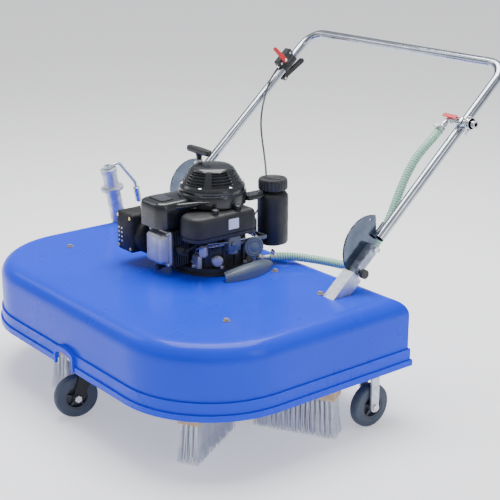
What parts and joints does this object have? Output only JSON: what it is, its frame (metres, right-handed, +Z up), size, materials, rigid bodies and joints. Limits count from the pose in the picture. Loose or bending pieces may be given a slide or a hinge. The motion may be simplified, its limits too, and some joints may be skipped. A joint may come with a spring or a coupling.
{
  "type": "walk-behind sweeper",
  "caption": "Walk-behind sweeper with a blue moulded hood over contra-rotating brush stars, a petrol engine, a folding tubular handle, a water hose and a screw jack for the side wheel.",
  "frame": {"origin": "on the ground under the middle of the overall length, in the middle of the width", "axes": "+Z up, +Y toward the operator at the handle, -Y the front with the swivel wheel, +X the operator's left-hand side, the side with the water valve"},
  "size_m": [1.1783, 1.313, 0.9377],
  "materials": {
    "hood_blue": "gloss",
    "zinc_bolt": "satin",
    "zinc": "satin",
    "plate_zinc": "satin",
    "chrome": "gloss",
    "bright_steel": "satin",
    "gear_steel": "satin",
    "cast_aluminium": "matte",
    "dark_aluminium": "matte",
    "engine_black": "satin",
    "matt_black": "matte",
    "fork_black": "satin",
    "muffler_black": "matte",
    "tyre_grey": "matte",
    "hub_grey": "satin",
    "wood": "matte",
    "bristle": "matte",
    "belt_rubber": "matte",
    "hose_clear": "satin",
    "lever_red": "satin",
    "knob_black": "satin",
    "shield_grey": "satin",
    "cable_black": "satin"
  },
  "bodies": {
    "chassis": {"hood": "hood_blue", "hood_bolts": "zinc_bolt", "frame": "zinc", "left_wheel_axle": "bright_steel", "jack_tube": "zinc", "gear_case": "cast_aluminium", "gear_case_cover": "cast_aluminium", "rotor_bearings": "bright_steel", "drive_belt": "belt_rubber", "spray_pipe": "zinc", "crankcase": "dark_aluminium", "cylinder": "dark_aluminium", "valve_cover": "cast_aluminium", "muffler": "muffler_black", "air_cleaner": "engine_black", "carburettor": "cast_aluminium", "fan_shroud": "engine_black", "recoil_cover": "engine_black", "fuel_tank": "engine_black", "engine_shield": "shield_grey", "pivot_posts": "zinc", "pivot_bolts": "bright_steel", "water_hose": "hose_clear", "throttle_cable": "cable_black"},
    "handle_frame": {"handle": "chrome", "control_housing": "matt_black", "water_valve": "chrome"},
    "valve_lever": {"valve_lever": "lever_red"},
    "throttle_lever": {"throttle_lever": "lever_red"},
    "stop_lever": {"stop_lever": "matt_black"},
    "left_lock_pin": {"left_lock_pin": "knob_black"},
    "right_lock_pin": {"right_lock_pin": "knob_black"},
    "left_rotor": {"left_rotor_spider": "plate_zinc", "left_brush_blocks": "wood", "left_bristles": "bristle", "left_rotor_gear": "gear_steel"},
    "right_rotor": {"right_rotor_spider": "plate_zinc", "right_brush_blocks": "wood", "right_bristles": "bristle", "right_rotor_gear": "gear_steel"},
    "left_idler": {"left_idler_gear": "gear_steel"},
    "right_idler": {"right_idler_gear": "gear_steel"},
    "input_shaft": {"input_shaft": "gear_steel"},
    "engine_crank": {"crankshaft": "gear_steel"},
    "left_wheel": {"left_wheel_tyre": "tyre_grey", "left_wheel_hub": "hub_grey"},
    "caster": {"caster_fork": "fork_black", "front_wheel_axle": "bright_steel"},
    "front_wheel": {"front_wheel_tyre": "tyre_grey", "front_wheel_hub": "hub_grey"},
    "jack_crank": {"jack_screw": "bright_steel", "jack_crank": "zinc"},
    "jack_grip": {"jack_grip": "bright_steel"},
    "jack_leg": {"jack_leg": "zinc", "right_wheel_axle": "bright_steel"},
    "right_wheel": {"right_wheel_tyre": "tyre_grey", "right_wheel_hub": "hub_grey"},
    "starter_grip": {"starter_grip": "matt_black"},
    "starter_reel": {"starter_reel": "matt_black"},
    "fuel_cap": {"fuel_cap": "engine_black"}
  },
  "joints": [
    {"name": "handle_fold", "type": "hinge", "parent": "chassis", "child": "handle_frame", "pos_m": [0, 0.11605, 0.466], "axis": [1, 0, 0], "range_deg": [0, 136], "deforming": ["water_hose", "throttle_cable"]},
    {"name": "left_lock_slide", "type": "slide", "parent": "chassis", "child": "left_lock_pin", "axis": [-1, 0, 0], "range_m": [0, 0.0092]},
    {"name": "right_lock_slide", "type": "slide", "parent": "chassis", "child": "right_lock_pin", "axis": [1, 0, 0], "range_m": [0, 0.0092]},
    {"name": "left_rotor_spin", "type": "hinge", "parent": "chassis", "child": "left_rotor", "pos_m": [0.2745, -0.24795, 0.15], "axis": [0, 0, 1], "continuous": true},
    {"name": "right_rotor_spin", "type": "hinge", "parent": "chassis", "child": "right_rotor", "pos_m": [-0.2745, -0.24795, 0.15], "axis": [0, 0, 1], "continuous": true},
    {"name": "left_idler_spin", "type": "hinge", "parent": "chassis", "child": "left_idler", "pos_m": [0.0915, -0.24795, 0.235], "axis": [0, 0, 1], "continuous": true},
    {"name": "right_idler_spin", "type": "hinge", "parent": "chassis", "child": "right_idler", "pos_m": [-0.0915, -0.24795, 0.235], "axis": [0, 0, 1], "continuous": true},
    {"name": "input_shaft_spin", "type": "hinge", "parent": "chassis", "child": "input_shaft", "pos_m": [0.1485, -0.34668, 0.25], "axis": [0, 0, 1], "continuous": true},
    {"name": "engine_crank_spin", "type": "hinge", "parent": "chassis", "child": "engine_crank", "pos_m": [0, -0.11495, 0.4], "axis": [0, 0, 1], "continuous": true},
    {"name": "left_wheel_roll", "type": "hinge", "parent": "chassis", "child": "left_wheel", "pos_m": [0.547, 0.01205, 0.0625], "axis": [1, 0, 0], "continuous": true},
    {"name": "caster_swivel", "type": "hinge", "parent": "chassis", "child": "caster", "pos_m": [0, -0.56295, 0.15], "axis": [0, 0, 1], "continuous": true},
    {"name": "front_wheel_roll", "type": "hinge", "parent": "caster", "child": "front_wheel", "pos_m": [-0.00828, -0.59386, 0.0625], "axis": [0.9659, -0.2588, 0], "continuous": true},
    {"name": "jack_crank_turn", "type": "hinge", "parent": "chassis", "child": "jack_crank", "pos_m": [-0.545, -0.11453, 0.45567], "axis": [0, -0.184, 0.9829], "range_deg": [-1200, 3600]},
    {"name": "jack_grip_spin", "type": "hinge", "parent": "jack_crank", "child": "jack_grip", "pos_m": [-0.545, -0.02122, 0.43549], "axis": [0, -0.184, 0.9829], "continuous": true},
    {"name": "jack_leg_slide", "type": "slide", "parent": "chassis", "child": "jack_leg", "axis": [0, 0.184, -0.9829], "range_m": [-0.0201, 0.0601]},
    {"name": "right_wheel_roll", "type": "hinge", "parent": "jack_leg", "child": "right_wheel", "pos_m": [-0.547, 0.01205, 0.0625], "axis": [1, 0, 0], "continuous": true},
    {"name": "valve_lever_turn", "type": "hinge", "parent": "handle_frame", "child": "valve_lever", "pos_m": [0.432, 0.4335, 0.79496], "axis": [0, -0.6561, 0.7547], "range_deg": [0, 90]},
    {"name": "throttle_lever_turn", "type": "hinge", "parent": "handle_frame", "child": "throttle_lever", "pos_m": [-0.418, 0.5089, 0.84327], "axis": [1, 0, 0], "range_deg": [-30, 30]},
    {"name": "stop_lever_squeeze", "type": "hinge", "parent": "handle_frame", "child": "stop_lever", "pos_m": [-0.432, 0.51519, 0.78116], "axis": [1, 0, 0], "range_deg": [0, 7], "stiffness_Nm_per_rad": 2, "springref_deg": -5.73},
    {"name": "starter_pull", "type": "slide", "parent": "chassis", "child": "starter_grip", "axis": [0, 0, 1], "range_m": [0, 0.4], "stiffness_N_per_m": 15, "springref_m": -0.1},
    {"name": "starter_reel_spin", "type": "hinge", "parent": "chassis", "child": "starter_reel", "pos_m": [0, -0.11495, 0.604], "axis": [0, 0, 1], "range_deg": [0, 500]},
    {"name": "fuel_cap_turn", "type": "hinge", "parent": "chassis", "child": "fuel_cap", "pos_m": [0.075, 0.05205, 0.59], "axis": [0, 0, 1], "range_deg": [0, 300]}
  ],
  "couplings": [
    {"joint": "left_idler_spin", "follows": "left_rotor_spin", "ratio": -1},
    {"joint": "right_idler_spin", "follows": "left_rotor_spin", "ratio": 1},
    {"joint": "right_rotor_spin", "follows": "left_rotor_spin", "ratio": -1},
    {"joint": "input_shaft_spin", "follows": "left_rotor_spin", "ratio": 4.0667},
    {"joint": "engine_crank_spin", "follows": "left_rotor_spin", "ratio": 13.556},
    {"joint": "jack_leg_slide", "follows": "jack_crank_turn", "m_per_rad": 0.00095493},
    {"joint": "starter_reel_spin", "follows": "starter_pull", "rad_per_m": 21.3}
  ]
}
